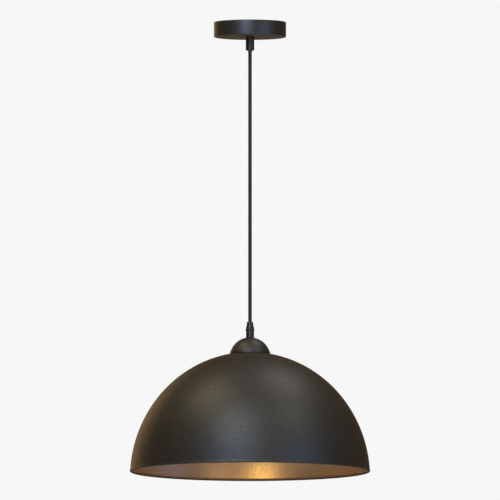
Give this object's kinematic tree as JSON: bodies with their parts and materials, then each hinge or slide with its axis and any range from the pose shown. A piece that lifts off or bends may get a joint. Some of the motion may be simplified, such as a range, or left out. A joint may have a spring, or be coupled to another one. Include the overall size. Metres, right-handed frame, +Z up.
{
  "type": "pendant ceiling light",
  "caption": "Pendant ceiling light with a round canopy, a straight round cable with cord grips, a half-ball cap and a wide dome shade, black outside and gold inside.",
  "frame": {"origin": "on the ceiling plane, midway between the bracket's two fixing slots, on the axis of the cable", "axes": "+Z up into the ceiling, +X along the line of the two fixing slots, the light hangs down -Z"},
  "size_m": [0.4, 0.4, 0.75],
  "materials": {
    "shade_black": "matte",
    "gold_interior": "satin",
    "canopy_black": "satin",
    "black_plastic": "satin",
    "cable_sheath": "satin",
    "grip_rubber": "matte",
    "holder_black": "satin",
    "white_plastic": "satin",
    "zinc_steel": "satin",
    "brass": "satin",
    "tinned_copper": "satin",
    "nickel": "satin",
    "core_brown": "satin",
    "core_blue": "satin",
    "core_green_yellow": "satin",
    "bulb_glass": "gloss",
    "black_glass": "gloss",
    "driver_board": "satin",
    "filament_yellow": "satin"
  },
  "bodies": {
    "ceiling_fixture": {"ceiling_bracket": "zinc_steel", "canopy": "canopy_black", "upper_nipple": "zinc_steel", "upper_nipple_washers": "zinc_steel", "upper_nipple_nuts": "zinc_steel", "upper_grip_body": "black_plastic", "upper_grip_screw": "black_plastic", "terminal_block": "white_plastic", "terminal_tubes": "brass", "terminal_screws": "zinc_steel", "terminal_block_screw": "zinc_steel", "earth_screw": "brass", "earth_lug": "tinned_copper", "cable_tail": "cable_sheath", "upper_live_core": "core_brown", "upper_neutral_core": "core_blue", "upper_earth_core": "core_green_yellow"},
    "cable_bend": {"cable_top_bend": "cable_sheath"},
    "cable_hang": {"cable_run": "cable_sheath"},
    "cable_set": {"cable_lower_length": "cable_sheath"},
    "cable_twist": {"cable_bottom_bend": "cable_sheath"},
    "pendant": {"cable_end": "cable_sheath", "clamp_nut": "black_plastic", "grip_insert": "grip_rubber", "lower_grip_body": "black_plastic", "lower_nipple": "zinc_steel", "cap_nut": "zinc_steel", "cap": "shade_black", "shade": "shade_black", "lampholder_cover": "holder_black", "lampholder_skirt": "holder_black", "lampholder_carrier": "white_plastic", "screw_shell": "nickel", "centre_contact": "brass", "side_contact": "brass", "earth_tab": "tinned_copper", "shade_ring": "holder_black", "lower_live_core": "core_brown", "lower_neutral_core": "core_blue", "lower_earth_core": "core_green_yellow"},
    "bulb": {"bulb_glass": "bulb_glass", "bulb_cap": "nickel", "bulb_insulator": "black_glass", "bulb_contact": "tinned_copper", "bulb_stem": "bulb_glass", "bulb_driver": "driver_board", "bulb_filaments": "filament_yellow", "bulb_wires": "tinned_copper"}
  },
  "joints": [
    {"name": "swing_side", "type": "hinge", "parent": "ceiling_fixture", "child": "cable_bend", "pos_m": [0, 0, -0.049], "axis": [0, 1, 0], "range_deg": [-25, 25]},
    {"name": "swing_front", "type": "hinge", "parent": "cable_bend", "child": "cable_hang", "pos_m": [0, 0, -0.061], "axis": [1, 0, 0], "range_deg": [-25, 25]},
    {"name": "height", "type": "slide", "parent": "cable_hang", "child": "cable_set", "axis": [0, 0, 1], "range_m": [0, 0.25], "deforming": ["cable_run"]},
    {"name": "shade_turn", "type": "hinge", "parent": "cable_set", "child": "cable_twist", "pos_m": [0, 0, -0.488], "axis": [0, 0, 1], "range_deg": [-180, 180]},
    {"name": "shade_tilt", "type": "hinge", "parent": "cable_twist", "child": "pendant", "pos_m": [0, 0, -0.4976], "axis": [0, 1, 0], "range_deg": [-15, 15]},
    {"name": "bulb_out", "type": "slide", "parent": "pendant", "child": "bulb", "axis": [0, 0, -1], "range_m": [0, 0.12]}
  ]
}
